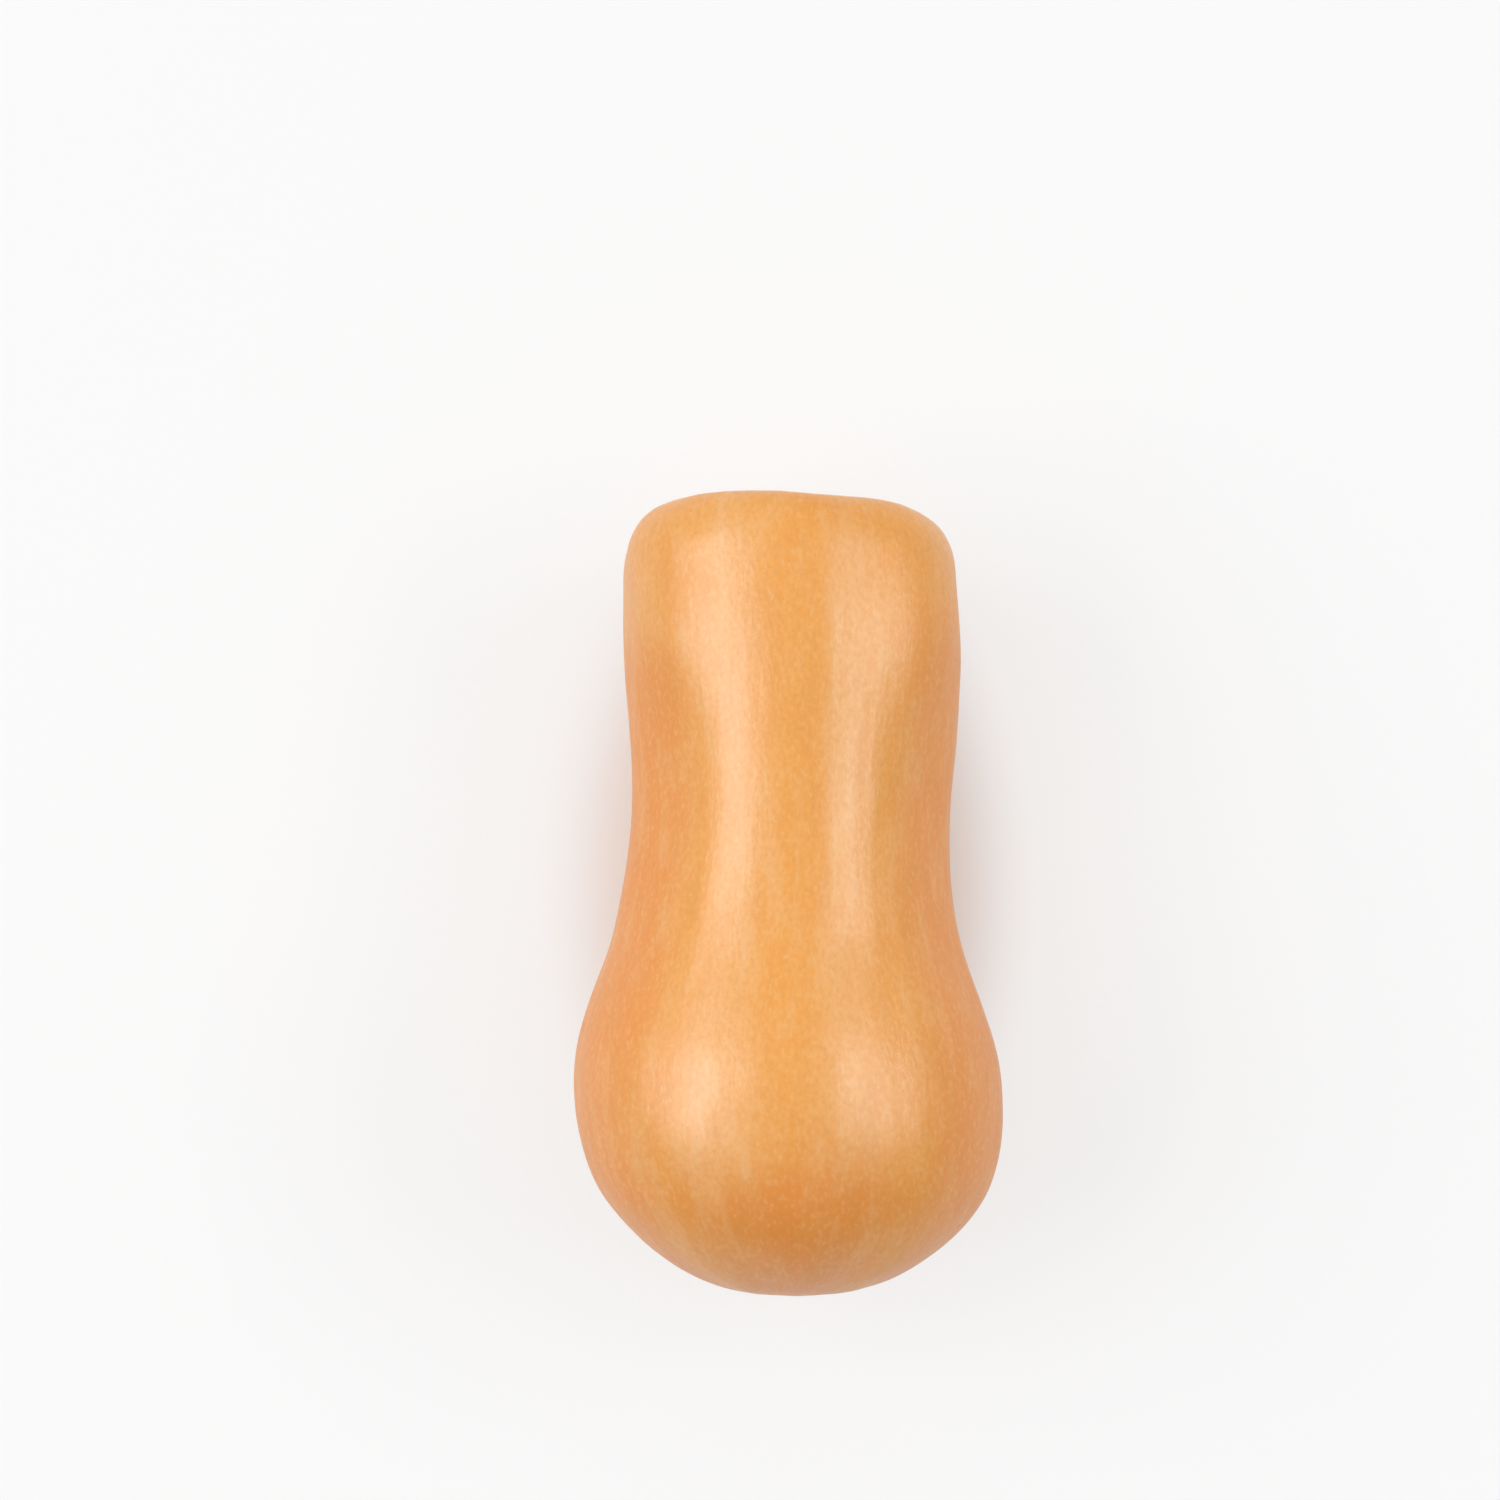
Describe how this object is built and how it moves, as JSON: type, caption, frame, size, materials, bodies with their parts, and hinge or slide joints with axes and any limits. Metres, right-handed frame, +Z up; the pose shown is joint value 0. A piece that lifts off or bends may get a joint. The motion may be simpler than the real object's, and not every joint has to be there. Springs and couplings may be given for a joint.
{
  "type": "butternut squash",
  "caption": "Whole butternut squash lying on its side: pear-shaped fruit with a round bulb, a straight neck and a short trimmed stem.",
  "frame": {"origin": "on the surface that the squash rests on, under the middle of its bounding box", "axes": "+Y along the fruit, from the blossom end of the bulb to the stem end of the neck; +Z up; +X to the right as seen from above with the stem end away"},
  "size_m": [0.108, 0.2002, 0.1057],
  "materials": {
    "rind": "smooth waxy rind, tan orange with faint lengthwise streaks",
    "stem": "dry, ridged and corky, cut across its end"
  },
  "bodies": {
    "root": {"fruit": "rind", "stem": "stem"}
  },
  "joints": []
}
